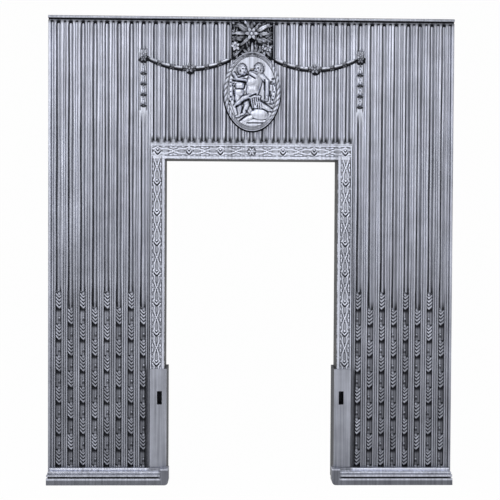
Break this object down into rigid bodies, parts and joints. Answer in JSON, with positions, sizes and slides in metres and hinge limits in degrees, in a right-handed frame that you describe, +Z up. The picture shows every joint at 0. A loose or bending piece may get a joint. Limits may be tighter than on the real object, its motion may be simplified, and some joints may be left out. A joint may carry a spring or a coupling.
{
  "type": "cast iron fireplace insert",
  "caption": "Cast iron fireplace insert front: fluted jambs and frieze around a tall fire opening with an ornamented border, oval relief medallion, garlands, husk chains and moulded feet.",
  "frame": {"origin": "on the hearth, in the middle of the width and the depth", "axes": "+Z up, +X to the right seen from the front, the ornamented front looks along -Y"},
  "size_m": [0.86, 0.078, 0.99],
  "materials": {
    "burnished_cast_iron": "burnished bluish-grey iron, dark in its hollows",
    "strap_iron": "black iron bar, left as rolled",
    "fastener_steel": "dull steel"
  },
  "bodies": {
    "root": {"angle_screws": "fastener_steel", "base_screws": "fastener_steel", "border_head": "burnished_cast_iron", "bouquet": "burnished_cast_iron", "frieze_panel": "burnished_cast_iron", "head_strap": "strap_iron", "left_base_moulding": "burnished_cast_iron", "left_border_stile": "burnished_cast_iron", "left_chain_rivets": "fastener_steel", "left_foot_angle": "strap_iron", "left_foot_strap": "strap_iron", "left_garland": "burnished_cast_iron", "left_husk_chain_1": "burnished_cast_iron", "left_husk_chain_2": "burnished_cast_iron", "left_husk_chain_3": "burnished_cast_iron", "left_husk_chain_4": "burnished_cast_iron", "left_husk_chain_5": "burnished_cast_iron", "left_husk_chain_6": "burnished_cast_iron", "left_husk_chain_7": "burnished_cast_iron", "left_husk_chain_8": "burnished_cast_iron", "left_husk_drop": "burnished_cast_iron", "left_jamb_panel": "burnished_cast_iron", "left_joint_strap": "strap_iron", "left_plinth": "burnished_cast_iron", "left_rosette": "burnished_cast_iron", "left_slot_plate": "burnished_cast_iron", "medallion_nuts": "fastener_steel", "medallion_plaque": "burnished_cast_iron", "medallion_ring": "burnished_cast_iron", "medallion_studs": "fastener_steel", "ornament_rivets": "fastener_steel", "right_base_moulding": "burnished_cast_iron", "right_border_stile": "burnished_cast_iron", "right_chain_rivets": "fastener_steel", "right_foot_angle": "strap_iron", "right_foot_strap": "strap_iron", "right_garland": "burnished_cast_iron", "right_husk_chain_1": "burnished_cast_iron", "right_husk_chain_2": "burnished_cast_iron", "right_husk_chain_3": "burnished_cast_iron", "right_husk_chain_4": "burnished_cast_iron", "right_husk_chain_5": "burnished_cast_iron", "right_husk_chain_6": "burnished_cast_iron", "right_husk_chain_7": "burnished_cast_iron", "right_husk_chain_8": "burnished_cast_iron", "right_husk_drop": "burnished_cast_iron", "right_jamb_panel": "burnished_cast_iron", "right_joint_strap": "strap_iron", "right_plinth": "burnished_cast_iron", "right_rosette": "burnished_cast_iron", "right_slot_plate": "burnished_cast_iron", "strap_screws": "fastener_steel"}
  },
  "joints": []
}
